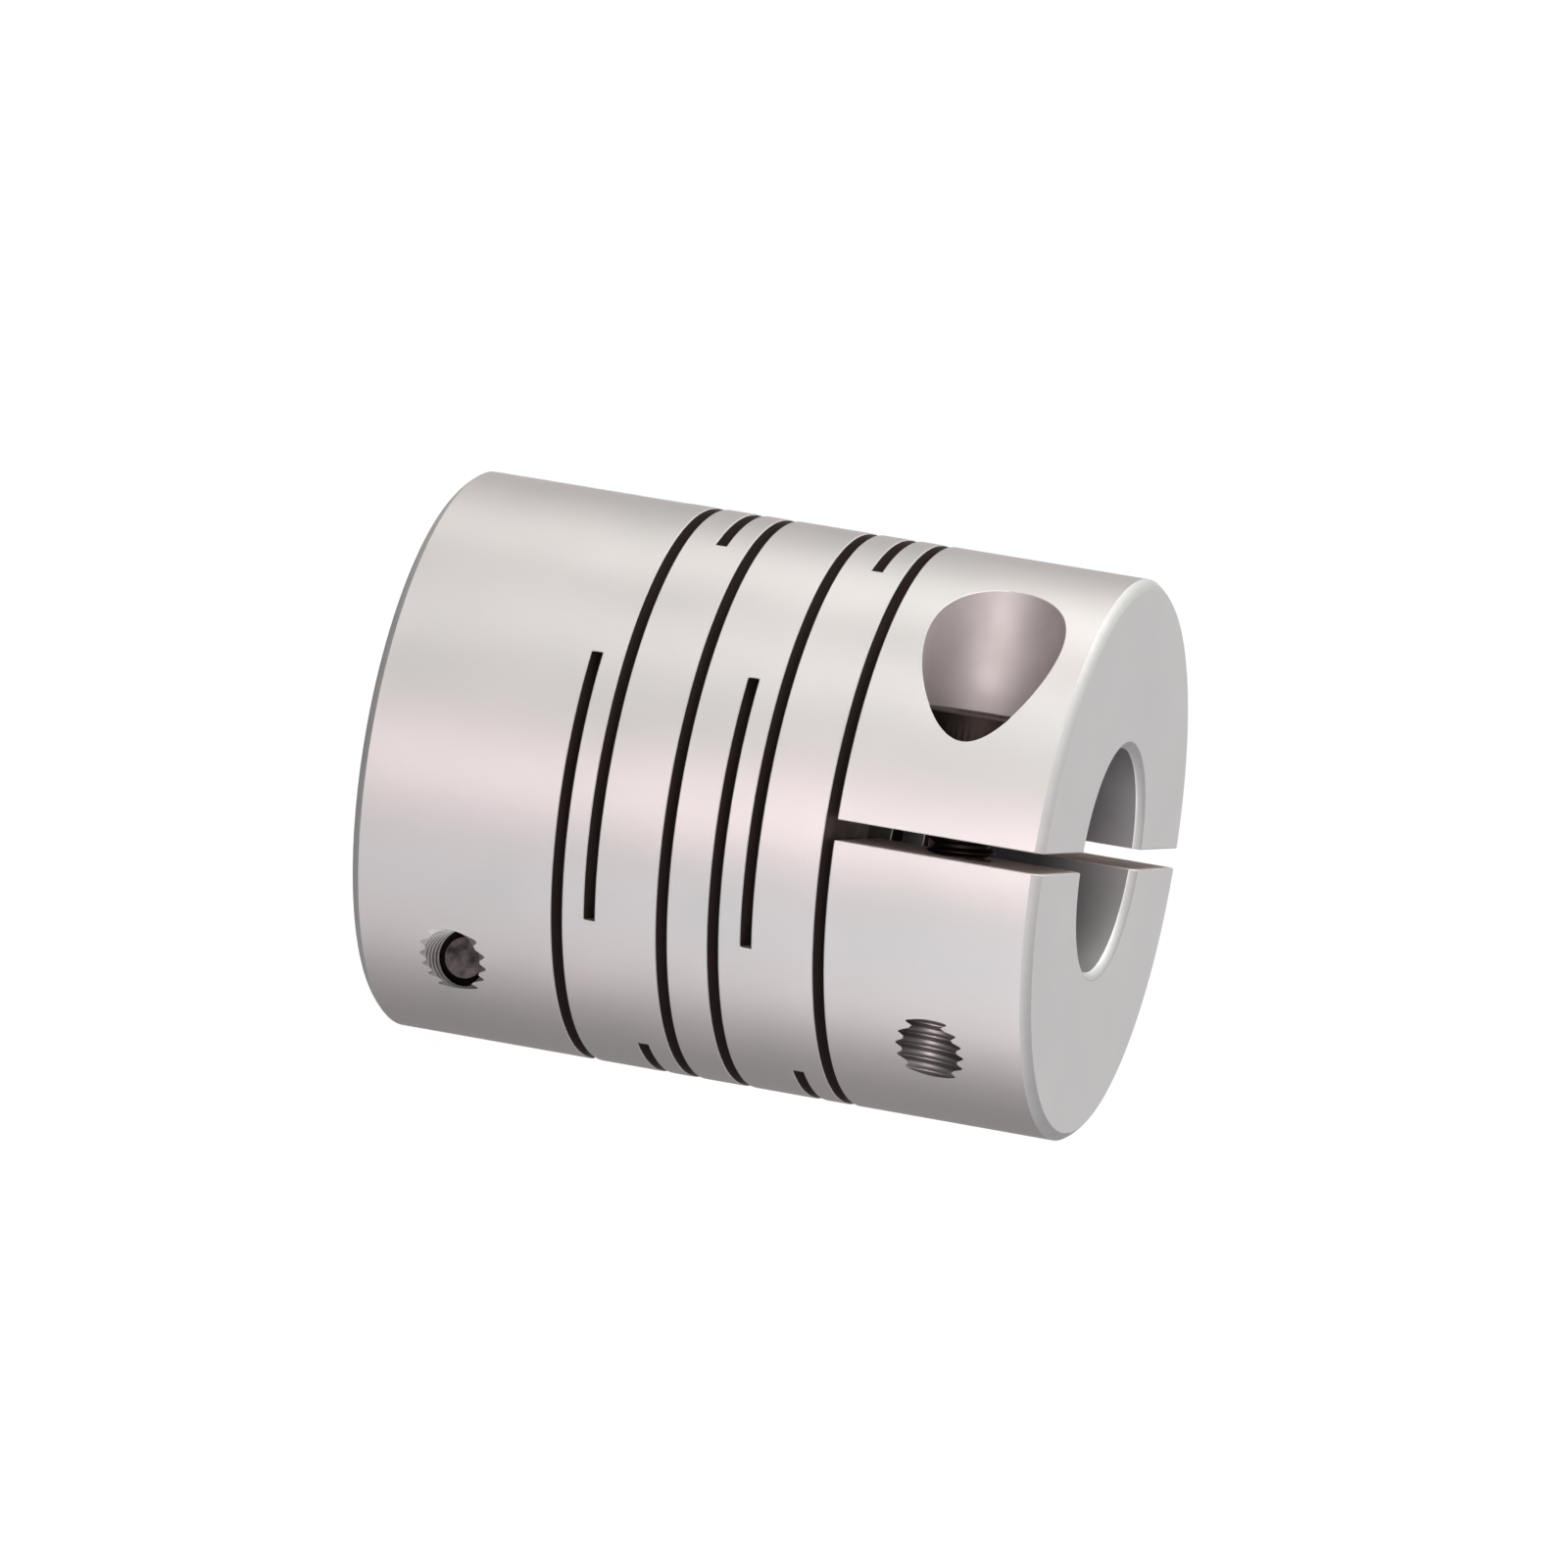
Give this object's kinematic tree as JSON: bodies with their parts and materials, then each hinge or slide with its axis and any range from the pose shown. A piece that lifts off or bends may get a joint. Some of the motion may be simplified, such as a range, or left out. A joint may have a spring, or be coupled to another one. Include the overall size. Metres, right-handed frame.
{
  "type": "flexible coupling",
  "caption": "Flexible shaft coupling machined from one aluminium bar, with crossed parallel slots and split clamp hubs.",
  "frame": {"origin": "middle of the lower end face, on the shaft axis, where the coupling stands on that face", "axes": "+Z along the shaft axis from the lower hub to the upper hub, -Y towards the side on which the upper hub's clamp screw lies, -X towards that screw's head"},
  "size_m": [0.025, 0.025, 0.031],
  "materials": {
    "anodised_aluminium": "bead-blasted and clear anodised",
    "black_steel": "black oxide, lightly oiled"
  },
  "bodies": {
    "root": {"coupling_body": "anodised_aluminium", "lower_clamp_screw": "black_steel", "upper_clamp_screw": "black_steel"}
  },
  "joints": []
}
